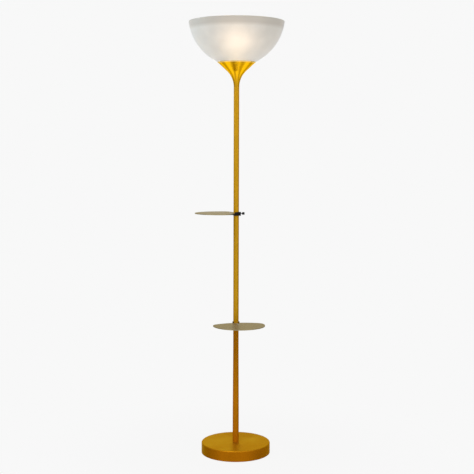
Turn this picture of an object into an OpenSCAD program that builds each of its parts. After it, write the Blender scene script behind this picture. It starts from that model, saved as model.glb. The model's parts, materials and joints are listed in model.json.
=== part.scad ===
// Torchiere floor lamp with two round side trays on a three-piece pole.
// Units are millimetres. The origin is the middle of the base's underside, on
// the pole's axis, and +Z is up. The upper tray points to -X, the front is -Y.

/* [Base] */
// Outer diameter of the base cover
base_d = 281.5; // [240:0.5:320]
// Height of the base, floor to top face
base_h = 44; // [32:1:50]
// Radius of the rounded top edge of the base cover
base_round_r = 4; // [3:0.5:12]
// Sheet thickness of the base cover
cover_t = 1.2; // [0.8:0.1:2]
// Thickness of the foam pad under the base
pad_t = 2; // [1:0.5:4]
// Thickness of the steel plate that closes the base
plate_t = 1.5; // [1:0.1:3]
// Height of the cord inlet's axis above the floor
inlet_z = 12; // [10:0.5:16]
// Bore of the cord inlet bush
inlet_bore_d = 7; // [5:0.5:9]

/* [Pole] */
// Outer diameter of the pole tubes
pole_d = 22; // [19:0.5:24]
// Outer diameter of the lowest tube at its foot
foot_d = 25; // [24:0.5:30]
// Length of the lowest tube's straight foot
foot_len = 120; // [60:5:180]
// Length over which the lowest tube tapers up to the pole's diameter
taper_len = 280; // [150:5:290]
// Wall thickness of the pole tubes
pole_wall = 1.2; // [0.8:0.1:2]
// Length of each of the three pole tubes
section_len = 483.5; // [480:0.5:560]
// Length of the threaded coupler inside each pole joint
coupler_len = 60; // [40:2:90]
// Length of the plugs pressed into the pole's two ends
plug_len = 28; // [20:1:40]
// Outer diameter of the threaded tubes at the foot and the head
nipple_d = 10; // [8:0.5:12]
// Wire bore of the threaded tubes
nipple_bore_d = 7; // [5:0.5:7]

/* [Cup] */
// Height of the flared cup
cup_h = 98.1; // [90:0.1:110]
// Outer diameter of the cup at its mouth
cup_mouth_d = 152; // [144:1:158]
// Angle of the cup's straight flare from the vertical
cup_flare_angle = 47; // [45:1:50]
// Sheet thickness of the cup
cup_t = 1.2; // [0.8:0.1:1.5]

/* [Shade] */
// Outer diameter of the shade at its rim
shade_rim_d = 383; // [370:0.5:396]
// Radius of the arc that forms the bowl's side
shade_arc_r = 203.5; // [200:0.5:212]
// Height of that arc's centre above the rim
shade_arc_rise = 26; // [15:1:35]
// Wall thickness of the shade
shade_t = 2.5; // [1.5:0.1:4]
// Diameter of the hole in the shade's bottom
shade_hole_d = 42; // [41.5:0.5:46]

/* [Lampholder and bulb] */
// Outer diameter of the lampholder's threaded skirt
skirt_d = 40; // [38:0.5:40]
// Height of the lampholder's skirt above its shoulder
skirt_h = 20; // [16:1:26]
// Height of the lampholder body under its shoulder
holder_h = 46; // [38:1:52]
// Outer diameter of the ring that clamps the shade
shade_ring_d = 57; // [52:1:64]
// Height of that ring
shade_ring_h = 7; // [5:0.5:10]
// Diameter of the bulb's globe
bulb_d = 60; // [50:1:80]
// Height of the bulb above its cap
bulb_h = 84; // [78:1:110]
// Outer diameter of the bulb's screw cap
cap_d = 26; // [25:0.5:27]
// Length of the bulb's screw cap
cap_len = 22; // [18:1:24]

/* [Trays] */
// Diameter of the round part of a tray
tray_d = 210; // [180:1:240]
// Thickness of a tray
tray_t = 3; // [2:0.5:5]
// Distance of a tray's centre from the pole's axis
tray_reach = 62.5; // [50:0.5:80]
// Distance of a tray's inner edge from the pole's axis
tray_edge_x = 5; // [4:0.5:8]
// Radius of a tray's inner edge, seen from above
tray_edge_r = 190; // [150:5:300]
// Corner radius of a tray
tray_corner_r = 34; // [20:1:45]
// Height of the upper tray's top face
upper_tray_z = 989; // [800:1:1300]
// Height of the lower tray's top face
lower_tray_z = 540; // [460:1:700]
// Turn of the lower tray about the pole from the upper tray
lower_tray_turn = 101.4; // [0:0.1:360]

/* [Tray clamps] */
// Height of a clamp's block above the tray's top face
block_rise = 4; // [3:0.5:8]
// Height of a clamp's block below the tray's top face
block_drop = 11; // [9:0.5:16]
// Distance of the block's outer face from the pole's axis
block_reach = 19; // [17:0.5:26]
// Width of a clamp's block at its screw boss
boss_w = 17; // [14:0.5:22]
// Thickness of the tongue under the tray
tongue_t = 5; // [4:0.5:6]
// Length of the tongue from the pole's axis
tongue_len = 62; // [50:1:80]
// Width of the tongue
tongue_w = 29; // [27:1:40]
// Wall thickness of the split bush between pole and clamp
bush_t = 1.15; // [1:0.05:2]
// Wall of the clamp's ring round the bush
ring_wall = 2.3; // [2:0.1:4]
// Diameter of the thumb screw
stud_d = 5; // [4:0.5:6]
// Diameter of the thumb screw's knob
knob_d = 10.5; // [9:0.5:16]
// Length of the knob
knob_len = 10.5; // [8:0.5:18]
// Bare length of the screw between block and knob
knob_gap = 4.5; // [2:0.5:10]
// Depth of the screw's axis below the tray's top face
screw_drop = 2; // [0:0.5:4]
// Diameter of the tray screws
tray_screw_d = 4; // [3:0.5:5]

/* [Fits] */
// Radial running clearance of bush on pole, clamp on bush and thumb screw
run_gap = 0.05; // [0.02:0.01:0.1]
// Clearance between pieces that are assembled side by side
seat_gap = 0.3; // [0.2:0.05:0.5]
// Radial clearance of threaded tubes in their clearance holes
thread_gap = 0.2; // [0.1:0.05:0.4]

/* [Hidden] */

$fn = 96;
eps = 0.01;

// Colours, as the lamp shows them
gold = [0.80, 0.56, 0.12];
cup_gold = [0.87, 0.64, 0.10];
tray_gold = [0.62, 0.56, 0.40];
black = [0.08, 0.08, 0.08];
steel = [0.70, 0.70, 0.72];
frosted = [0.95, 0.92, 0.86];

// Base
base_r = base_d / 2;
cover_lift = 1;
weight_z0 = pad_t + plate_t;
weight_z1 = base_h - cover_t;
inner_round_r = base_round_r - cover_t;
weight_gap = 2;
weight_r = base_r - cover_t - weight_gap;
nipple_r = nipple_d / 2;
clear_r = nipple_r + thread_gap;
nut_af = 17;
nut_h = 6;
washer_t = 1.5;
washer_r = 13;
recess_r = washer_r + 2;
recess_h = 12.5;
channel_w = 16;
channel_h = 16;
pad_inset = 4;
nipple_end = 2;
inlet_flange_t = 2;
inlet_lip_t = 1.5;
inlet_lip_rise = 0.8;
inlet_neck_r = inlet_bore_d / 2 + 2.3;
inlet_flange_r = inlet_neck_r + 2.2;

// Pole
pole_r = pole_d / 2;
bore_r = pole_r - pole_wall;
foot_r = foot_d / 2;
foot_bore_r = foot_r - pole_wall;
press_gap = 0.05;
joint1_z = base_h + section_len;
joint2_z = joint1_z + section_len;
pole_top_z = joint2_z + section_len;
coupler_bore_r = 6;
relief_w = 2;
relief_depth = 0.6;
nipple_grip = 24;

// Cup: an arc that starts upright at the neck, then a straight flare
cup_z0 = pole_top_z;
cup_z1 = cup_z0 + cup_h;
cup_arc_r = (cup_h * tan(cup_flare_angle) - (cup_mouth_d / 2 - pole_r))
    / (sin(cup_flare_angle) * tan(cup_flare_angle) - (1 - cos(cup_flare_angle)));
cup_seat_t = 1.6;
cup_washer_r = bore_r - 1;
cup_lip_r = 1.4;
cup_nut_af = 14;
cup_nut_h = 5;

// Shade: a bowl turned from one arc, which nests in the cup's lip and has a
// flat floor as wide as the ring that clamps it
arc_rc = shade_rim_d / 2 - sqrt(pow(shade_arc_r, 2) - pow(shade_arc_rise, 2));
lip_rc = cup_mouth_d / 2 - cup_lip_r;
arc_zc = cup_z1 - cup_lip_r
    + sqrt(pow(shade_arc_r + cup_lip_r + seat_gap, 2) - pow(lip_rc - arc_rc, 2));
floor_r = shade_ring_d / 2 + 1.5;
shade_z0 = arc_zc - sqrt(pow(shade_arc_r, 2) - pow(floor_r - arc_rc, 2));
shade_z1 = arc_zc - shade_arc_rise;

// Lampholder: the shade's bottom lies on its shoulder
shoulder_z = shade_z0;
shoulder_r = shade_hole_d / 2 + 3;
shoulder_t = 2.5;
holder_z0 = shoulder_z - holder_h;
holder_r = skirt_d / 2 - 0.5;
skirt_top_z = shoulder_z + skirt_h;
socket_r = cap_d / 2 + 2.2;
shell_t = 0.5;
shell_r = socket_r - 0.3;
socket_floor_z = skirt_top_z - cap_len - 8;
ring_z0 = shade_z0 + shade_t;
holder_dome_r = 8;
holder_grip = 12;
wire_room_r = nipple_r + 3;
wire_room_h = 10;
contact_w = 6;
contact_t = 0.8;
contact_foot_x = socket_r - 6;
contact_spring_x = nipple_r + 2;

// Bulb
skirt_overlap = 2;
bulb_neck_z = skirt_top_z - skirt_overlap;
bulb_top_z = bulb_neck_z + bulb_h;
globe_zc = bulb_top_z - bulb_d / 2;
cap_z0 = bulb_neck_z - cap_len;
contact_h = 4;

// Tray clamps
bush_bore_r = pole_r + run_gap;
bush_r = bush_bore_r + bush_t;
clamp_bore_r = bush_r + run_gap;
bush_h = block_drop - seat_gap;
rib_h = 1.6;
rib_rise = 0.8;
rib_z = -tray_t - tongue_t + 0.9;
bush_slit = 2;
ring_r = clamp_bore_r + ring_wall;
block_h = block_rise + block_drop;
tray_notch_r = clamp_bore_r + seat_gap;
screw_x1 = tray_notch_r + 12;
screw_x2 = tongue_len - 10;
tray_screw_r = tray_screw_d / 2;
screw_head_h = 1.8;
screw_head_r = tray_screw_r + screw_head_h;
stud_tip_x = bush_r + 0.2;
knob_x0 = block_reach + knob_gap;
knob_x1 = knob_x0 + knob_len;
stud_end_x = knob_x1 - 2;
flute_n = 9;
flute_r = 1.1;
tray_r = tray_d / 2;
arc_step_angle = 3;

// Ring between two radii
module ring(r_out, r_in, h) {
    difference() {
        cylinder(r = r_out, h = h);
        translate([0, 0, -1]) cylinder(r = r_in, h = h + 2);
    }
}

// Hexagon nut with a bored thread
module hex_nut(af, h, hole_r) {
    difference() {
        cylinder(r = af / sqrt(3), h = h, $fn = 6);
        translate([0, 0, -1]) cylinder(r = hole_r, h = h + 2);
    }
}

// ---- Base ----

module base_pad() {
    color(black) cylinder(r = base_r - cover_t - seat_gap - pad_inset, h = pad_t, $fn = 128);
}

module base_plate() {
    color(steel) translate([0, 0, pad_t])
        ring(base_r - cover_t - seat_gap, recess_r, plate_t, $fn = 128);
}

// Cast disc, chamfered to clear the cover's rounded edge
module base_weight() {
    chamfer = inner_round_r;
    color([0.55, 0.55, 0.53]) difference() {
        rotate_extrude($fn = 128) polygon([
            [clear_r, weight_z0],
            [weight_r, weight_z0],
            [weight_r, weight_z1 - chamfer],
            [weight_r - chamfer, weight_z1],
            [clear_r, weight_z1]
        ]);
        translate([0, 0, weight_z0 - 1]) cylinder(r = recess_r, h = recess_h + 1);
        translate([-channel_w / 2, 0, weight_z0 - 1]) cube([channel_w, base_r, channel_h + 1]);
    }
}

// Half outline of the cover's skin at a distance in from its outer face
module cover_outline(inset) {
    r = base_round_r - inset;
    x = base_r - inset;
    z = base_h - inset;
    square([x, z - r]);
    square([x - r, z]);
    translate([x - r, z - r]) circle(r = r, $fn = 64);
}

module base_cover() {
    color(gold) difference() {
        rotate_extrude($fn = 160) difference() {
            intersection() {
                cover_outline(0);
                translate([clear_r, cover_lift]) square([base_r, base_h]);
            }
            translate([0, -1]) square([base_r - cover_t, 2]);
            cover_outline(cover_t);
        }
        translate([0, base_r - 10, inlet_z]) rotate([-90, 0, 0]) cylinder(r = inlet_neck_r, h = 20);
    }
}

// Rubber bush in the rear of the cover, where the cord would enter
module cord_bush() {
    lip_y = base_r - cover_t - 2 * seat_gap - inlet_lip_t;
    flange_y = base_r + press_gap;
    color(black) translate([0, 0, inlet_z]) rotate([-90, 0, 0]) difference() {
        union() {
            translate([0, 0, flange_y]) cylinder(r = inlet_flange_r, h = inlet_flange_t);
            translate([0, 0, lip_y]) cylinder(r = inlet_neck_r - press_gap, h = flange_y + eps - lip_y);
            translate([0, 0, lip_y]) cylinder(r = inlet_neck_r + inlet_lip_rise, h = inlet_lip_t);
        }
        translate([0, 0, base_r - 20]) cylinder(r = inlet_bore_d / 2, h = 40);
    }
}

module base_nipple() {
    z0 = weight_z0 + recess_h - washer_t - nut_h - nipple_end;
    color(steel) translate([0, 0, z0]) ring(nipple_r, nipple_bore_d / 2, base_h + nipple_grip - z0);
}

module base_washer() {
    color(steel) translate([0, 0, weight_z0 + recess_h - washer_t]) ring(washer_r, clear_r, washer_t);
}

module base_nut() {
    color(steel) translate([0, 0, weight_z0 + recess_h - washer_t - nut_h])
        hex_nut(nut_af, nut_h, nipple_r + press_gap);
}

// ---- Pole ----

module pole_tube(z) {
    color(gold) translate([0, 0, z]) ring(pole_r, bore_r, section_len);
}

// Lowest tube, swaged from a wider foot up to the pole's diameter
module foot_tube() {
    taper_z = foot_len + taper_len;
    color(gold) translate([0, 0, base_h]) rotate_extrude() polygon([
        [foot_bore_r, 0],
        [foot_r, 0],
        [foot_r, foot_len],
        [pole_r, taper_z],
        [pole_r, section_len],
        [bore_r, section_len],
        [bore_r, taper_z],
        [foot_bore_r, foot_len]
    ]);
}

// Sleeve across a pole joint, with a thread relief in the middle
module coupler(z) {
    color(steel) translate([0, 0, z - coupler_len / 2]) difference() {
        ring(bore_r - press_gap, coupler_bore_r, coupler_len);
        translate([0, 0, (coupler_len - relief_w) / 2])
            ring(bore_r + 1, bore_r - press_gap - relief_depth, relief_w);
    }
}

// Plug in a pole end, tapped for the threaded tube
module end_plug(z0, tube_bore_r) {
    color(steel) translate([0, 0, z0])
        ring(tube_bore_r - press_gap, nipple_r + press_gap, plug_len);
}

// ---- Cup ----

// Point on the cup's skin at an angle along the neck arc, t inside the outer face
function cup_arc_point(a, t) = [
    pole_r + cup_arc_r * (1 - cos(a)) - t * cos(a),
    cup_arc_r * sin(a) + t * sin(a)
];

// Half section of the cup filled to its axis, its face set in by t
module cup_fill(t) {
    mouth_r = cup_mouth_d / 2;
    end = cup_arc_point(cup_flare_angle, t);
    side = t / cos(cup_flare_angle);
    difference() {
        polygon([
            [0, 0],
            [pole_r + cup_arc_r - t, 0],
            end,
            [mouth_r - side, cup_h],
            [0, cup_h]
        ]);
        translate([pole_r + cup_arc_r, 0]) circle(r = cup_arc_r + t, $fn = 256);
    }
}

module cup() {
    color(cup_gold) translate([0, 0, cup_z0]) rotate_extrude($fn = 128) difference() {
        union() {
            difference() {
                cup_fill(0);
                translate([0, cup_seat_t]) cup_core();
            }
            translate([lip_rc, cup_h - cup_lip_r]) circle(r = cup_lip_r, $fn = 32);
        }
        translate([-1, -1]) square([clear_r + 1, cup_seat_t + 2]);
    }
}

// Hollow of the cup above its seat
module cup_core() {
    intersection() {
        translate([0, -cup_seat_t]) cup_fill(cup_t);
        square([cup_mouth_d, cup_h + 5]);
    }
}

module cup_washer() {
    color(steel) translate([0, 0, cup_z0 + cup_seat_t]) ring(cup_washer_r, clear_r, washer_t);
}

module cup_nut() {
    color(steel) translate([0, 0, cup_z0 + cup_seat_t + washer_t])
        hex_nut(cup_nut_af, cup_nut_h, nipple_r + press_gap);
}

module holder_nipple() {
    z0 = pole_top_z - nipple_grip;
    color(steel) translate([0, 0, z0])
        ring(nipple_r, nipple_bore_d / 2, holder_z0 + holder_grip - z0);
}

// ---- Lampholder and bulb ----

module lampholder_body() {
    straight_r = holder_r - holder_dome_r;
    color(black) rotate_extrude($fn = 96) difference() {
        union() {
            translate([0, holder_z0]) square([straight_r, holder_h]);
            translate([0, holder_z0 + holder_dome_r]) square([holder_r, holder_h - holder_dome_r]);
            translate([straight_r, holder_z0 + holder_dome_r]) circle(r = holder_dome_r, $fn = 48);
            translate([0, shoulder_z - shoulder_t]) square([shoulder_r, shoulder_t]);
            translate([0, shoulder_z - 1]) square([skirt_d / 2, skirt_h + 1]);
        }
        translate([0, holder_z0 - 1]) square([nipple_r + press_gap, holder_h]);
        translate([0, holder_z0 + holder_grip]) square([wire_room_r, wire_room_h]);
        translate([0, socket_floor_z]) square([socket_r, holder_h + skirt_h]);
    }
}

module lampholder_shell() {
    color(steel) translate([0, 0, socket_floor_z])
        ring(shell_r, shell_r - shell_t, skirt_top_z - 4 - socket_floor_z);
}

// Sprung tongue under the bulb's contact
module lampholder_contact() {
    top_z = cap_z0 - contact_h;
    spring_x = -contact_spring_x - contact_t;
    color([0.80, 0.62, 0.25]) translate([0, -contact_w / 2, 0]) {
        translate([-contact_foot_x, 0, socket_floor_z])
            cube([contact_foot_x - contact_spring_x, contact_w, contact_t]);
        translate([spring_x, 0, socket_floor_z]) cube([contact_t, contact_w, top_z - socket_floor_z]);
        translate([spring_x, 0, top_z - contact_t]) cube([contact_w / 2 - spring_x, contact_w, contact_t]);
    }
}

// Half section of the bowl filled to its axis, its skin set in by t
module bowl_fill(t) {
    z0 = shade_z0 + t;
    intersection() {
        translate([arc_rc, arc_zc]) circle(r = shade_arc_r - t, $fn = 360);
        translate([0, z0]) square([shade_rim_d, shade_z1 - z0]);
    }
}

module shade() {
    rim_z = shade_z1 - shade_t / 2;
    rim_r = arc_rc + sqrt(pow(shade_arc_r - shade_t / 2, 2) - pow(arc_zc - rim_z, 2));
    color(frosted) rotate_extrude($fn = 180) {
        difference() {
            bowl_fill(0);
            bowl_fill(shade_t);
            translate([0, rim_z]) square([shade_rim_d, shade_t]);
            translate([0, shade_z0 - 1]) square([shade_hole_d / 2, shade_t + 2]);
        }
        translate([rim_r, rim_z]) circle(r = shade_t / 2, $fn = 32);
    }
}

module shade_ring() {
    wall_r = skirt_d / 2 + press_gap;
    notch_n = 12;
    color(black) translate([0, 0, ring_z0]) difference() {
        ring(shade_ring_d / 2, wall_r, shade_ring_h);
        for (i = [0 : notch_n - 1]) rotate([0, 0, i * 360 / notch_n])
            translate([shade_ring_d / 2 + 1, 0, 2]) cylinder(r = 2.2, h = shade_ring_h, $fn = 32);
    }
}

// Globe on a neck that narrows to the cap
module bulb_globe() {
    r = bulb_d / 2;
    neck_r = cap_d / 2 + 1;
    neck_h = 6;
    // Height and radius at which the neck's cone leaves the globe
    leave_angle = 40;
    leave_z = globe_zc - r * sin(leave_angle);
    leave_r = r * cos(leave_angle);
    color(frosted) {
        translate([0, 0, globe_zc]) sphere(r = r, $fn = 128);
        translate([0, 0, bulb_neck_z]) cylinder(r = neck_r, h = neck_h);
        translate([0, 0, bulb_neck_z + neck_h])
            cylinder(r1 = neck_r, r2 = leave_r, h = leave_z - bulb_neck_z - neck_h);
    }
}

module bulb_cap() {
    thread_pitch = 3.6;
    groove_n = 4;
    r = cap_d / 2;
    color(steel) {
        difference() {
            translate([0, 0, cap_z0]) cylinder(r = r, h = cap_len);
            for (i = [0 : groove_n - 1]) translate([0, 0, cap_z0 + 3 + i * thread_pitch])
                rotate_extrude() translate([r + 0.6, 0]) circle(r = 1.3, $fn = 24);
        }
        translate([0, 0, cap_z0 - 2]) cylinder(r1 = 6, r2 = r - 2, h = 2);
        translate([0, 0, cap_z0 - contact_h]) cylinder(r = 5, h = contact_h - 2 + eps);
    }
}

// ---- Tray stations ----
// Each is drawn about the pole's axis with the tray towards -X and the tray's
// top face at z = 0, then turned and lifted to its place.

module at_upper() {
    translate([0, 0, upper_tray_z]) children();
}

module at_lower() {
    translate([0, 0, lower_tray_z]) rotate([0, 0, lower_tray_turn]) children();
}

// Split nylon bush that slides on the pole, with a rib for the clamp's groove
module bush() {
    color(black) difference() {
        union() {
            translate([0, 0, -block_drop]) cylinder(r = bush_r, h = bush_h);
            translate([0, 0, rib_z]) cylinder(r = bush_r + rib_rise, h = rib_h);
        }
        translate([0, 0, -block_drop - 1]) cylinder(r = bush_bore_r, h = bush_h + 2);
        translate([-ring_r, -bush_slit / 2, -block_drop - 1]) cube([ring_r, bush_slit, bush_h + 2]);
    }
}

// Plan of the clamp's block: a ring round the pole with a square screw boss
module block_plan() {
    corner = 2.5;
    circle(r = ring_r);
    translate([0, -boss_w / 2]) square([block_reach - corner, boss_w]);
    translate([0, -boss_w / 2 + corner]) square([block_reach, boss_w - 2 * corner]);
    for (s = [-1, 1]) translate([block_reach - corner, s * (boss_w / 2 - corner)])
        circle(r = corner, $fn = 32);
}

// Plan of the tongue that carries the tray
module tongue_plan() {
    end_r = tongue_w / 2;
    translate([-tongue_len + end_r, 0]) circle(r = end_r);
    translate([-tongue_len + end_r, -end_r]) square([tongue_len - end_r - tray_edge_x, tongue_w]);
    circle(r = ring_r);
}

module clamp() {
    color(black) difference() {
        union() {
            translate([0, 0, -block_drop]) linear_extrude(block_h) intersection() {
                block_plan();
                translate([-tray_edge_x, -50]) square([100, 100]);
            }
            translate([0, 0, -tray_t - tongue_t]) linear_extrude(tongue_t) tongue_plan();
        }
        translate([0, 0, -block_drop - 1]) cylinder(r = clamp_bore_r, h = block_drop + 1);
        translate([0, 0, -1]) cylinder(r = pole_r + seat_gap, h = block_rise + 2);
        translate([0, 0, rib_z - seat_gap])
            cylinder(r = bush_r + rib_rise + seat_gap, h = rib_h + 2 * seat_gap);
        translate([0, 0, -screw_drop]) rotate([0, 90, 0])
            cylinder(r = stud_d / 2 + run_gap, h = block_reach + 1);
        for (x = [screw_x1, screw_x2]) translate([-x, 0, -tray_t - tongue_t - 1])
            cylinder(r = tray_screw_r, h = tongue_t + 2, $fn = 48);
    }
}

// Points along an arc, its last end left out
function arc_points(c, r, a0, a1) = [
    for (i = [0 : arc_steps(a0, a1) - 1]) let (a = a0 + (a1 - a0) * i / arc_steps(a0, a1))
        [c[0] + r * cos(a), c[1] + r * sin(a)]
];
function arc_steps(a0, a1) = ceil(abs(a1 - a0) / arc_step_angle);

// Plan of a tray: a disc whose inner side is a flatter arc past the pole, with
// rounded corners that touch both arcs from inside
module tray_plan() {
    disc_x = -tray_reach;
    edge_x = -tray_edge_x - tray_edge_r;
    gap_x = disc_x - edge_x;
    d1 = tray_r - tray_corner_r;
    d2 = tray_edge_r - tray_corner_r;
    corner_x = disc_x + (d2 * d2 - d1 * d1 - gap_x * gap_x) / (2 * gap_x);
    corner_y = sqrt(d1 * d1 - pow(corner_x - disc_x, 2));
    // Directions of a corner's centre, seen from the two arcs' centres
    a1 = atan2(corner_y, corner_x - disc_x);
    a2 = atan2(corner_y, corner_x - edge_x);
    polygon([
        each arc_points([disc_x, 0], tray_r, a1, 360 - a1),
        each arc_points([corner_x, -corner_y], tray_corner_r, -a1, -a2),
        each arc_points([edge_x, 0], tray_edge_r, -a2, a2),
        each arc_points([corner_x, corner_y], tray_corner_r, a2, a1)
    ]);
}

module tray() {
    color(tray_gold) difference() {
        translate([0, 0, -tray_t]) linear_extrude(tray_t) tray_plan();
        translate([0, 0, -tray_t - 1]) cylinder(r = tray_notch_r, h = tray_t + 2);
        for (x = [screw_x1, screw_x2]) translate([-x, 0, 0]) {
            translate([0, 0, -tray_t - 1]) cylinder(r = tray_screw_r, h = tray_t + 2, $fn = 48);
            translate([0, 0, -screw_head_h]) cylinder(r1 = tray_screw_r, r2 = screw_head_r, h = screw_head_h);
        }
    }
}

module tray_screws() {
    shank_r = tray_screw_r - press_gap;
    screw_len = tray_t + tongue_t - seat_gap;
    cross_w = 1;
    cross_depth = 1.2;
    color(steel) for (x = [screw_x1, screw_x2]) translate([-x, 0, 0]) difference() {
        union() {
            translate([0, 0, -screw_len]) cylinder(r = shank_r, h = screw_len - screw_head_h / 2, $fn = 48);
            translate([0, 0, -screw_head_h])
                cylinder(r1 = shank_r, r2 = screw_head_r - press_gap, h = screw_head_h);
        }
        translate([-screw_head_r / 2, -cross_w / 2, -cross_depth]) cube([screw_head_r, cross_w, 2]);
        translate([-cross_w / 2, -screw_head_r / 2, -cross_depth]) cube([cross_w, screw_head_r, 2]);
    }
}

module thumb_screw() {
    color(steel) translate([stud_tip_x, 0, -screw_drop]) rotate([0, 90, 0])
        cylinder(r = stud_d / 2, h = stud_end_x - stud_tip_x);
}

module knob() {
    cone = 1.2;
    r = knob_d / 2;
    color(black) translate([knob_x0, 0, -screw_drop]) rotate([0, 90, 0]) difference() {
        union() {
            cylinder(r1 = r - cone, r2 = r, h = cone);
            translate([0, 0, cone]) cylinder(r = r, h = knob_len - 2 * cone);
            translate([0, 0, knob_len - cone]) cylinder(r1 = r, r2 = r - cone, h = cone);
        }
        translate([0, 0, -1]) cylinder(r = stud_d / 2, h = stud_end_x - knob_x0 + 1);
        for (i = [0 : flute_n - 1]) rotate([0, 0, i * 360 / flute_n])
            translate([r + 0.4, 0, -1]) cylinder(r = flute_r, h = knob_len + 2, $fn = 24);
    }
}

base_pad();
base_plate();
base_weight();
base_cover();
base_nipple();
base_washer();
base_nut();
cord_bush();
end_plug(base_h, foot_bore_r);  // foot_plug
foot_tube();  // lower_pole
coupler(joint1_z);  // lower_coupler
pole_tube(joint1_z);  // middle_pole
coupler(joint2_z);  // upper_coupler
pole_tube(joint2_z);  // upper_pole
end_plug(pole_top_z - plug_len, bore_r);  // head_plug
cup();
cup_washer();
cup_nut();
holder_nipple();
lampholder_body();
lampholder_shell();
lampholder_contact();
shade();
shade_ring();
bulb_globe();
bulb_cap();
at_upper() bush();  // upper_bush
at_upper() clamp();  // upper_clamp
at_upper() tray();  // upper_tray
at_upper() tray_screws();  // upper_tray_screws
at_upper() thumb_screw();  // upper_thumb_screw
at_upper() knob();  // upper_knob
at_lower() bush();  // lower_bush
at_lower() clamp();  // lower_clamp
at_lower() tray();  // lower_tray
at_lower() tray_screws();  // lower_tray_screws
at_lower() thumb_screw();  // lower_thumb_screw
at_lower() knob();  // lower_knob
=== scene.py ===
import json
import math

import bmesh
import bpy
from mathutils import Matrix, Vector


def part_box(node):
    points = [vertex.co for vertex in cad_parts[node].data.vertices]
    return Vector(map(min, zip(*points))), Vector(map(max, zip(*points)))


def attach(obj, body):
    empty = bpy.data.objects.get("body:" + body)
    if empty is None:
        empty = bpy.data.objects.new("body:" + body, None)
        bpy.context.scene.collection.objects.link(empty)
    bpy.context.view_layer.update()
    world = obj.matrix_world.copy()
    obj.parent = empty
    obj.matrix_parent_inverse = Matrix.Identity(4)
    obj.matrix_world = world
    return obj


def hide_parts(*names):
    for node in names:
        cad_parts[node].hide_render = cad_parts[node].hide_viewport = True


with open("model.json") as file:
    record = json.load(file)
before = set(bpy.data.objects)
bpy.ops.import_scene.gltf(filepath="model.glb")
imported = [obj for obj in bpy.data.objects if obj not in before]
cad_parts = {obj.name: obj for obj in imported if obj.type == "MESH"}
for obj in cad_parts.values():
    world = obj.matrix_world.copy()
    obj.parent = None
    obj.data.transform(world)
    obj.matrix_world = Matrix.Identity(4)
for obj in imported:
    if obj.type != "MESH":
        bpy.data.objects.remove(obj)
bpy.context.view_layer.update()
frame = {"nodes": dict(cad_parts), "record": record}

scene = bpy.context.scene
scene.view_settings.view_transform = "Standard"
nodes = frame["nodes"]
behaviour = frame["record"]["behaviour"]
body_of = {node: body for body, members in behaviour["bodies"].items() for node in members}
joint_of = {joint["name"]: joint for joint in behaviour["joints"]}
slot_of = {part["node"]: part["material_slot"] for part in frame["record"]["subparts"]}


# ---- Camera ----

EYE = (0.0026, -4.0, 1.239)
DOWN = 4.97     # degrees below the horizon
ROLL = -0.14    # degrees

camera = bpy.data.objects.new("camera", bpy.data.cameras.new("camera"))
scene.collection.objects.link(camera)
camera.data.lens = 75.15
camera.data.sensor_width = 36.0
camera.data.clip_end = 60.0
camera.location = EYE
camera.rotation_euler = (math.radians(90 - DOWN), math.radians(ROLL), 0.0)
scene.camera = camera


# ---- Node trees ----

class Nodes:
    """Short calls for making nodes. An input is given a socket to link or a value to set."""

    def __init__(self, tree):
        self.tree = tree

    def feed(self, socket, value):
        if isinstance(value, bpy.types.NodeSocket):
            self.tree.links.new(value, socket)
        else:
            socket.default_value = value

    def add(self, kind, inputs=None, **settings):
        node = self.tree.nodes.new("ShaderNode" + kind)
        for key, value in settings.items():
            setattr(node, key, value)
        for key, value in (inputs or {}).items():
            self.feed(node.inputs[key], value)
        return node

    def out(self, kind, inputs=None, key=0, **settings):
        """The new node's output."""
        return self.add(kind, inputs, **settings).outputs[key]

    def calc(self, operation, *values):
        return self.out("Math", dict(enumerate(values)), operation=operation)

    def remap(self, value, low, high, start=0.35, end=0.65):
        """From low at start to high at end. Noise is mostly within the default start and end."""
        return self.out("MapRange", {
            "Value": value, "From Min": start, "From Max": end, "To Min": low, "To Max": high
        })

    def blend_shaders(self, share, first, second):
        """First where share is 0, second where it is 1."""
        return self.out("MixShader", {0: share, 1: first, 2: second})


# ---- Light: a plain pale studio ----

# The world's level for each kind of ray: seen by the camera, lighting the object, coming through
# the shade, and mirrored from below.
WHITE = 0.9387
AMBIENT = 0.38
THROUGH = 0.12
BELOW = 1.15
# What a mirror sees all round: degrees from the camera's side, positive to its right, and level.
STUDIO = (
    (-180, 1.05), (-150, 0.85), (-120, 0.50), (-75, 0.48), (-47, 1.15), (-8, 0.85),
    (25, 1.10), (62, 0.50), (120, 0.50), (150, 0.85), (180, 1.05),
)
# A mirrored ray whose upward part is lower than these sees less of that ring, then only BELOW.
RING_FADES, RING_ENDS = -0.30, -0.80


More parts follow.
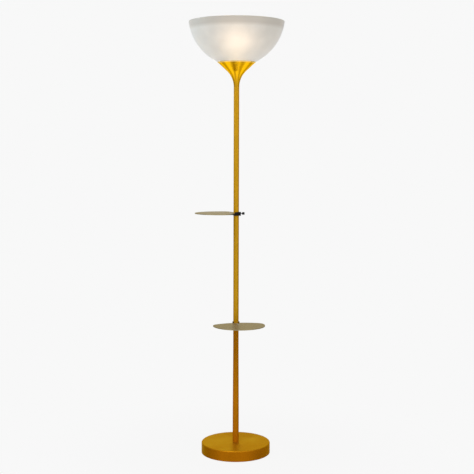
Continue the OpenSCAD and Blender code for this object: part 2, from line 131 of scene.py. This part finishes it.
def studio_world():
    world = bpy.data.worlds.new("studio")
    scene.world = world
    world.use_nodes = True
    world.node_tree.nodes.clear()
    tree = Nodes(world.node_tree)
    ray = tree.add("LightPath").outputs

    def light(strength, color=(1.0, 1.0, 1.0, 1.0)):
        return tree.out("Background", {"Color": color, "Strength": strength})

    x, y, z = tree.add("SeparateXYZ", {0: tree.out("TexCoord", key="Generated")}).outputs
    angle = tree.calc("ARCTAN2", x, tree.calc("MULTIPLY", y, -1.0))
    ramp = tree.add("ValToRGB", {0: tree.remap(angle, 0.0, 1.0, -math.pi, math.pi)})
    ramp.color_ramp.interpolation = "EASE"
    stops = ramp.color_ramp.elements
    for stop, (degrees, level) in zip((stops[0], stops[1]), (STUDIO[0], STUDIO[-1])):
        stop.position = degrees / 360 + 0.5
        stop.color = (level, level, level, 1.0)
    for degrees, level in STUDIO[1:-1]:
        stops.new(degrees / 360 + 0.5).color = (level, level, level, 1.0)
    low = tree.remap(z, 0.0, 1.0, RING_FADES, RING_ENDS)
    mirrored = tree.blend_shaders(low, light(1.0, ramp.outputs[0]), light(BELOW))

    shader = tree.blend_shaders(ray["Is Glossy Ray"], light(AMBIENT), mirrored)
    shader = tree.blend_shaders(ray["Is Transmission Ray"], shader, light(THROUGH))
    shader = tree.blend_shaders(ray["Is Camera Ray"], shader, light(WHITE))
    tree.add("OutputWorld", {"Surface": shader})


def add_light(name, kind, place, energy, color, unlit_rays):
    data = bpy.data.lights.new(name, kind)
    data.energy = energy
    data.color = color
    obj = bpy.data.objects.new(name, data)
    scene.collection.objects.link(obj)
    obj.location = place
    obj.visible_camera = False
    for ray in unlit_rays:
        setattr(obj, "visible_" + ray, False)
    return obj


def panel(name, azimuth, distance, height, aim, size, radiance, color=(1.0, 1.0, 1.0),
          spread=180.0, matte_only=False):
    """A soft light panel that faces the pole at the height aim. Azimuth 0 is towards the camera,
    positive to its right. A matte_only panel isn't mirrored and hardly shines through the shade.
    """
    a = math.radians(azimuth)
    place = (math.sin(a) * distance, -math.cos(a) * distance, height)
    energy = radiance * math.pi * size[0] * size[1]
    unlit_rays = ("glossy", "transmission") if matte_only else ()
    obj = add_light(name, "AREA", place, energy, color, unlit_rays)
    obj.data.shape = "RECTANGLE"
    obj.data.size, obj.data.size_y = size
    obj.data.spread = math.radians(spread)
    obj.rotation_mode = "QUATERNION"
    obj.rotation_quaternion = (Vector((0, 0, aim)) - obj.location).to_track_quat("-Z", "Y")


studio_world()
# The two small panels are for the shade's sides: the left one is cool, the right one warm.
AT_THE_SHADE = {
    "distance": 1.4, "height": 1.8, "aim": 1.7, "size": (0.5, 0.5), "spread": 80.0,
    "matte_only": True,
}
panel("light_key", -18, distance=2.2, height=3.9, aim=0.8, size=(3.0, 2.0), radiance=5.4)
panel("light_left", -95, radiance=4.9, color=(0.80, 0.93, 1.0), **AT_THE_SHADE)
panel("light_fill", 75, radiance=1.9, color=(1.0, 0.94, 0.84), **AT_THE_SHADE)
panel("light_right", 48, distance=3.0, height=1.2, aim=1.0, size=(0.8, 2.4), radiance=1.2)
# The bulb's own light on the upper wall, as far as it comes through the frosted shade.
lamp = add_light("lamp_light", "POINT", place=(0.0, 0.0, 1.692), energy=0.255,
                 color=(1.0, 0.77, 0.56), unlit_rays=("diffuse", "glossy"))
lamp.data.shadow_soft_size = 0.05


# ---- Materials ----

PLASTIC_IOR = 1.49


def rgba(color):
    return color if isinstance(color, bpy.types.NodeSocket) else (*color, 1.0)


def scaled(color, k):
    return tuple(part * k for part in color)


class Look(Nodes):
    """A procedural material on one Principled shader, with calls for the nodes that vary it."""

    def __init__(self, name, **inputs):
        self.material = bpy.data.materials.new(name)
        self.material.use_nodes = True
        super().__init__(self.material.node_tree)
        self.shader = self.tree.nodes["Principled BSDF"]
        self.place = self.out("TexCoord", key="Object")
        for key, value in inputs.items():
            self.shader.inputs[key.replace("_", " ")].default_value = value

    def noise(self, scale, detail=4.0, stretch=(1.0, 1.0, 1.0), rough=0.55):
        """Noise with scale cells to a metre; it is longer where stretch is below 1."""
        place = self.out("Mapping", {"Vector": self.place, "Scale": stretch})
        return self.out("TexNoise", {
            "Vector": place, "Scale": scale, "Detail": detail, "Roughness": rough
        })

    def mix(self, share, first, second):
        return self.out("Mix", {0: share, 6: rgba(first), 7: rgba(second)}, 2, data_type="RGBA")

    def height(self):
        return self.out("SeparateXYZ", {0: self.place}, 2)

    def tone(self):
        """What colours the shader so far."""
        return self.shader.inputs["Base Color"].links[0].from_socket

    def color(self, socket):
        self.feed(self.shader.inputs["Base Color"], socket)

    def roughness(self, socket):
        self.feed(self.shader.inputs["Roughness"], socket)

    def bump(self, height, strength, distance):
        normal = self.out("Bump", {"Height": height, "Strength": strength, "Distance": distance})
        self.feed(self.shader.inputs["Normal"], normal)
        return normal


def plated(name, color, edge, worn, rough, scratch_stretch, metallic, anisotropic):
    """Lacquered, plated metal: soft smudges, faint tarnish spots and fine scratches."""
    look = Look(name, Metallic=metallic, Specular_IOR_Level=0.0, Specular_Tint=(*edge, 1.0),
                Anisotropic=anisotropic)
    smudge = look.noise(9.0, 3.0)
    spots = look.noise(160.0, 2.0)
    scratch = look.noise(420.0, 2.0, scratch_stretch, 0.7)
    tone = look.mix(look.remap(smudge, 0.0, 1.0), scaled(color, 0.96), scaled(color, 1.05))
    look.color(look.mix(look.remap(spots, 0.0, 0.55, 0.66, 0.8), tone, worn))
    soft = look.remap(smudge, rough * 0.85, rough * 1.2)
    look.roughness(look.calc("ADD", soft, look.remap(scratch, -0.03, 0.03)))
    look.bump(scratch, 0.05, 0.0002)
    return look


def moulded(name, color, rough, grain_scale, grain, specular):
    """Moulded plastic: a fine spark-eroded grain, and a little dust and rubbing."""
    look = Look(name, IOR=PLASTIC_IOR, Specular_IOR_Level=specular)
    patch = look.noise(60.0, 3.0)
    fine = look.noise(grain_scale, 2.0)
    look.color(look.mix(look.remap(patch, 0.0, 1.0), scaled(color, 0.85), scaled(color, 1.25)))
    look.roughness(look.remap(patch, rough * 0.85, rough * 1.15))
    look.bump(fine, grain, 0.00015)
    return look


GOLD = (0.52, 0.27, 0.010)
GOLD_EDGE = (0.75, 0.55, 0.15)
# Which way a metal's scratches run.
DOWN_THE_TUBE = (1.0, 1.0, 0.04)
ROUND_THE_CUP = (0.05, 0.05, 1.0)
ACROSS_THE_TRAY = (1.0, 0.05, 1.0)
ALONG_THE_SCREW = (1.0, 1.0, 0.1)
ANY_WAY = (1.0, 1.0, 1.0)

# Colour, tint at the edges, worn spots, roughness, scratches, metallic, anisotropic.
PLATED = {
    "pole_gold": (GOLD, GOLD_EDGE, (0.30, 0.14, 0.01), 0.30, DOWN_THE_TUBE, 0.5, 0.0),
    # The base cover's gold is a darker, browner copy of the pole's: painted shade on its side.
    "foot_gold": ((0.385, 0.13, 0.002), (1.0, 1.0, 0.42), (0.26, 0.08, 0.002), 0.45,
                  DOWN_THE_TUBE, 0.75, 0.0),
    # The lowest tube's gold is a darker, browner copy of the pole's: painted shade, as under the
    # lower tray.
    "shaded_tube_gold": ((0.485, 0.170, 0.003), GOLD_EDGE, (0.28, 0.10, 0.002), 0.34,
                  DOWN_THE_TUBE, 0.12, 0.0),
    "cup_gold": ((1.0, 0.54, 0.008), (0.95, 0.80, 0.30), (0.55, 0.25, 0.006), 0.26,
                 ROUND_THE_CUP, 0.95, 0.8),
    "tray_metal": ((0.345, 0.288, 0.157), (0.59, 0.53, 0.42), (0.24, 0.18, 0.08), 0.36,
                   ACROSS_THE_TRAY, 0.7, 0.0),
    "zinc_steel": ((0.56, 0.57, 0.58), (0.9, 0.9, 0.9), (0.38, 0.35, 0.30), 0.32,
                   ALONG_THE_SCREW, 1.0, 0.0),
    "contact_brass": ((0.60, 0.44, 0.16), (0.9, 0.8, 0.5), (0.35, 0.22, 0.08), 0.30,
                      ANY_WAY, 1.0, 0.0),
}
# Colour, roughness, the grain's scale and strength, specular level.
MOULDED = {
    "clamp_plastic": ((0.006, 0.005, 0.004), 0.55, 1400.0, 0.25, 0.1),
    "knob_plastic": ((0.006, 0.006, 0.006), 0.50, 1400.0, 0.25, 0.1),
    "bush_nylon": ((0.045, 0.044, 0.042), 0.38, 900.0, 0.1, 0.5),
    "holder_plastic": ((0.028, 0.027, 0.026), 0.35, 900.0, 0.1, 0.5),
    "rubber": ((0.018, 0.018, 0.018), 0.72, 1800.0, 0.4, 0.5),
}


def paint_cup_reflections(look):
    """Broad painted reflection streaks that run down the cup, a painted highlight along its lip,
    and the pole's plain gold at its foot.
    """
    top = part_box("cup")[1].z
    foot, foot_ends = top - 0.098, top - 0.045
    painted_lip_glint, painted_lip_glint_full = top - 0.0045, top - 0.0025
    streaks, first_painted_streak, wobble = 10.0, -2.1, 2.4
    x, y, z = look.add("SeparateXYZ", {0: look.place}).outputs
    angle = look.calc("ARCTAN2", x, look.calc("MULTIPLY", y, -1.0))
    uneven = look.calc("MULTIPLY", look.noise(14.0, 2.0, (1.0, 1.0, 0.02)), wobble)
    phase = look.calc("MULTIPLY_ADD", angle, streaks, first_painted_streak)
    painted_streak_wave = look.calc("COSINE", look.calc("ADD", phase, uneven))
    # Painted reflections: dark streaks by angle round the cup.
    tone = look.mix(look.remap(painted_streak_wave, 0.85, 0.0, -1.0, 0.6), look.tone(), (0.46, 0.22, 0.001))
    tone = look.mix(look.remap(z, 1.0, 0.0, foot, foot_ends), tone, GOLD)
    # Painted highlight: a lighter strip just under the lip.
    look.color(look.mix(look.remap(z, 0.0, 0.8, painted_lip_glint, painted_lip_glint_full), tone, (0.95, 0.78, 0.40)))


def paint_cover_top_lighter(look):
    """The pressed cover's face is painted lighter than its side: painted light on its top face."""
    side_ends, face_starts = 0.0395, 0.0437
    share = look.remap(look.height(), 0.0, 0.8, side_ends, face_starts)
    # Painted light: the top face takes a lighter gold than the side.
    look.color(look.mix(share, look.tone(), (0.49, 0.214, 0.008)))


def cement():
    look = Look("cement")
    coarse = look.noise(45.0, 6.0)
    fine = look.noise(700.0, 4.0)
    pits = look.out("TexVoronoi", {"Vector": look.place, "Scale": 190.0})
    tone = look.mix(look.remap(coarse, 0.0, 1.0), (0.27, 0.265, 0.25), (0.42, 0.41, 0.385))
    look.color(look.mix(look.remap(pits, 0.5, 0.0, 0.0, 0.2), tone, (0.16, 0.155, 0.15)))
    look.roughness(look.remap(fine, 0.82, 0.97))
    look.bump(look.calc("ADD", fine, look.remap(pits, -1.0, 0.0, 0.0, 0.2)), 0.6, 0.0006)
    return look


def foam():
    look = Look("foam_pad")
    cells = look.out("TexVoronoi", {"Vector": look.place, "Scale": 900.0})
    patch = look.noise(30.0, 3.0)
    look.color(look.mix(look.remap(patch, 0.0, 1.0), (0.02, 0.02, 0.021), (0.04, 0.04, 0.042)))
    look.roughness(look.remap(cells, 0.98, 0.85, 0.0, 0.5))
    look.bump(cells, 0.7, 0.0004)
    return look


def frosted():
    """Satin acrylic. A ray scatters once in the wall, where it enters: it comes back, spreads, or
    goes nearly straight on. Towards the rim its colour is painted darker: painted shade in a strip
    below the rim. Only the outside has the satin coat.
    """
    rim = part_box("shade")[1].z
    # Where the painted shade below the rim starts, and where it is full.
    painted_shade_starts, painted_shade_full = rim - 0.036, rim - 0.022
    through_share, ahead_share, wide_share, gloss_share = 0.52, 0.22, 0.78, 0.06
    look = Look("shade_plastic", IOR=PLASTIC_IOR)
    mist = look.noise(26.0, 4.0)
    fine = look.noise(1500.0, 2.0)
    tone = look.mix(look.remap(mist, 0.0, 1.0), (0.84, 0.825, 0.79), (0.88, 0.865, 0.83))
    # Painted shade: the wall's colour is darker in a strip below the rim.
    tone = look.mix(look.remap(look.height(), 0.0, 1.0, painted_shade_starts, painted_shade_full), tone, (0.67, 0.64, 0.59))
    look.color(tone)
    look.roughness(look.remap(mist, 0.42, 0.54))
    normal = look.bump(fine, 0.08, 0.0002)

    def bumped(kind, **inputs):
        return look.out(kind, {**inputs, "Normal": normal})

    gloss = bumped("BsdfAnisotropic", Color=tone, Roughness=0.4)
    spread = bumped("BsdfTranslucent", Color=tone)
    wide = bumped("BsdfRefraction", Color=tone, Roughness=1.0, IOR=1.7)
    ahead = bumped("BsdfRefraction", Color=tone, Roughness=0.8, IOR=1.35)
    back = look.blend_shaders(gloss_share, look.shader.outputs[0], gloss)
    soft = look.blend_shaders(wide_share, spread, wide)
    through = look.blend_shaders(ahead_share, soft, ahead)
    body = look.blend_shaders(through_share, back, through)

    surface = look.add("NewGeometry").outputs
    level_place = look.out("VectorMath", {0: look.place, 1: (1.0, 1.0, 0.0)}, operation="MULTIPLY")
    faces_out = look.out("VectorMath", {0: surface["Normal"], 1: level_place}, "Value",
                         operation="DOT_PRODUCT")
    outside = look.calc("GREATER_THAN", faces_out, 0.0)
    coat = look.calc("MULTIPLY", bumped("Fresnel", IOR=PLASTIC_IOR), outside)
    wall = look.blend_shaders(coat, body, bumped("BsdfAnisotropic", Roughness=0.28))
    wall = look.blend_shaders(surface["Backfacing"], wall, look.out("BsdfTransparent"))
    look.feed(look.tree.nodes["Material Output"].inputs["Surface"], wall)
    return look


def glowing():
    """Opal glass with the lamp lit inside it, brighter in its upper half. The eye gets less of its
    light than the shade does.
    """
    seen, seen_through_shade, dimmest, brightest = 1.0, 1.2, 3.0, 45.0
    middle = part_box("bulb_globe")[1].z - 0.030
    brightens, brightest_from = middle - 0.012, middle + 0.020
    look = Look("bulb_glass", Roughness=0.3, IOR=1.5)
    grain = look.noise(40.0, 3.0)
    look.color(look.mix(look.remap(grain, 0.0, 1.0), (0.90, 0.87, 0.80), (0.93, 0.90, 0.84)))
    look.roughness(look.remap(grain, 0.25, 0.35))
    warm = look.mix(look.remap(grain, 0.0, 1.0), (1.0, 0.78, 0.52), (1.0, 0.82, 0.58))
    look.feed(look.shader.inputs["Emission Color"], warm)
    ray = look.add("LightPath").outputs
    level = look.remap(look.height(), dimmest, brightest, brightens, brightest_from)
    for kind, strength in (("Is Transmission Ray", seen_through_shade), ("Is Camera Ray", seen)):
        level = look.out("Mix", {0: ray[kind], 2: level, 3: strength})
    look.feed(look.shader.inputs["Emission Strength"], level)
    return look


looks = {name: plated(name, *values) for name, values in PLATED.items()}
looks.update({name: moulded(name, *values) for name, values in MOULDED.items()})
# The cup gets painted reflection streaks and a painted highlight at its lip.
paint_cup_reflections(looks["cup_gold"])
# The base cover's top face gets painted light.
paint_cover_top_lighter(looks["foot_gold"])
looks["cement"] = cement()
looks["foam_pad"] = foam()
looks["shade_plastic"] = frosted()
looks["bulb_glass"] = glowing()

# The base cover and lowest tube take the darker copies of the gold, which are painted shade.
look_of = {**slot_of, "base_cover": "foot_gold", "lower_pole": "shaded_tube_gold"}
for name, node in nodes.items():
    node.data.materials.clear()
    node.data.materials.append(looks[look_of[name]].material)


# ---- Meshes that stand for CAD nodes ----

def finish_mesh(bm, name, node, smooth):
    """Puts a bmesh in the scene in place of a CAD node, on that node's body and with its slot.
    Edges sharper than smooth, in degrees, stay sharp.
    """
    bmesh.ops.recalc_face_normals(bm, faces=bm.faces)
    mesh = bpy.data.meshes.new(name)
    bm.to_mesh(mesh)
    bm.free()
    mesh.shade_smooth()
    mesh.set_sharp_from_angle(angle=math.radians(smooth))
    mesh.materials.append(looks[slot_of[node]].material)
    obj = bpy.data.objects.new(name, mesh)
    scene.collection.objects.link(obj)
    level = obj.modifiers.new("level_faces", "WEIGHTED_NORMAL")
    level.keep_sharp = True
    level.weight = 100
    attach(obj, body_of[node])
    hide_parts(node)


def softened(node, width):
    """The CAD node's shape with its sharp edges rounded over."""
    flat, sharp = math.radians(0.6), math.radians(28.0)
    bm = bmesh.new()
    bm.from_mesh(nodes[node].data)
    bmesh.ops.remove_doubles(bm, verts=bm.verts, dist=1e-6)
    bmesh.ops.dissolve_limit(bm, angle_limit=flat, verts=bm.verts, edges=bm.edges)
    edges = [e for e in bm.edges if len(e.link_faces) == 2 and e.calc_face_angle(0.0) > sharp]
    bmesh.ops.bevel(bm, geom=edges, offset=width, segments=2, profile=0.5, affect="EDGES",
                    clamp_overlap=True)
    finish_mesh(bm, node + "_softened", node, 30.0)


ROUNDING = {
    "upper_clamp": 0.0005, "lower_clamp": 0.0005, "upper_bush": 0.0002, "lower_bush": 0.0002,
    "upper_knob": 0.0004, "lower_knob": 0.0004, "upper_tray": 0.0007, "lower_tray": 0.0007,
    "upper_tray_screws": 0.00012, "lower_tray_screws": 0.00012, "cord_bush": 0.0003,
    "shade_ring": 0.0005, "base_nut": 0.0004, "cup_nut": 0.0004,
}
for name, width in ROUNDING.items():
    softened(name, width)

PITCH = 0.001
DEPTH = 0.0005
SLOPE, CREST = 2.6, 0.15    # of the thread's flanks: how steep, and the flat that tops them
RINGS_PER_TURN = 10
AROUND = 28


def threaded(node, joint):
    """A rolled thread on the node's plain shank, cut inside its radius, with chamfered ends."""
    axis = Vector(joint_of[joint]["axis"])
    start = Vector(joint_of[joint]["pos_m"])
    spots = [v.co - start for v in nodes[node].data.vertices]
    low, high = min(p.dot(axis) for p in spots), max(p.dot(axis) for p in spots)
    radius = max((p - axis * p.dot(axis)).length for p in spots)
    side = axis.orthogonal().normalized()
    up = axis.cross(side)
    rings = round((high - low) / PITCH * RINGS_PER_TURN)
    bm = bmesh.new()
    rows = []
    for i in range(rings + 1):
        along = low + (high - low) * i / rings
        chamfer = radius - DEPTH + min(along - low, high - along)
        row = []
        for j in range(AROUND):
            a = 2 * math.pi * j / AROUND
            turn = ((along - low) / PITCH - j / AROUND) % 1.0
            flank = min(1.0, max(0.0, abs(turn - 0.5) * SLOPE - CREST))
            r = min(radius - DEPTH * flank, chamfer)
            spoke = side * math.cos(a) + up * math.sin(a)
            row.append(bm.verts.new(start + axis * along + spoke * r))
        rows.append(row)
    for first, second in zip(rows, rows[1:]):
        for j in range(AROUND):
            k = (j + 1) % AROUND
            bm.faces.new((first[j], first[k], second[k], second[j]))
    bm.faces.new(rows[0])
    bm.faces.new(rows[-1])
    finish_mesh(bm, node + "_thread", node, 40.0)


for station in ("upper", "lower"):
    threaded(station + "_thumb_screw", station + "_knob_turn")


# ---- Floor ----

FLOOR_RADIUS, FLOOR_SIDES, FLOOR_HEIGHT = 3.2, 96, -0.0005
# To the camera the lit floor is lifted towards plain white: by this share as far as the first
# distance from the pole, and wholly from the second on. The rest keeps the lamp's soft shadow.
FLOOR_LIFT, LIFT_STARTS, LIFT_FULL = 0.96, 0.16, 0.9


def pale_floor():
    turns = [2 * math.pi * i / FLOOR_SIDES for i in range(FLOOR_SIDES)]
    ring = [(FLOOR_RADIUS * math.cos(a), FLOOR_RADIUS * math.sin(a), FLOOR_HEIGHT) for a in turns]
    mesh = bpy.data.meshes.new("floor")
    mesh.from_pydata(ring, [], [tuple(range(FLOOR_SIDES))])
    obj = bpy.data.objects.new("floor", mesh)
    scene.collection.objects.link(obj)
    material = bpy.data.materials.new("floor")
    material.use_nodes = True
    material.node_tree.nodes.clear()
    tree = Nodes(material.node_tree)
    diffuse = tree.out("BsdfDiffuse", {"Color": (0.80, 0.80, 0.80, 1.0)})
    white = tree.out("Emission", {"Color": (WHITE, WHITE, WHITE, 1.0)})
    ray = tree.add("LightPath").outputs
    place = tree.out("TexCoord", key="Object")
    reach = tree.out("VectorMath", {0: place}, "Value", operation="LENGTH")
    lift = tree.out("MapRange", {
        "Value": reach, "From Min": LIFT_STARTS, "From Max": LIFT_FULL, "To Min": FLOOR_LIFT
    }, interpolation_type="SMOOTHSTEP")
    only_seen = tree.calc("MULTIPLY", lift, ray["Is Camera Ray"])
    ground = tree.blend_shaders(only_seen, diffuse, white)
    clear = tree.out("BsdfTransparent")
    shader = tree.blend_shaders(ray["Is Glossy Ray"], ground, clear)
    tree.add("OutputMaterial", {"Surface": shader})
    mesh.materials.append(material)


pale_floor()
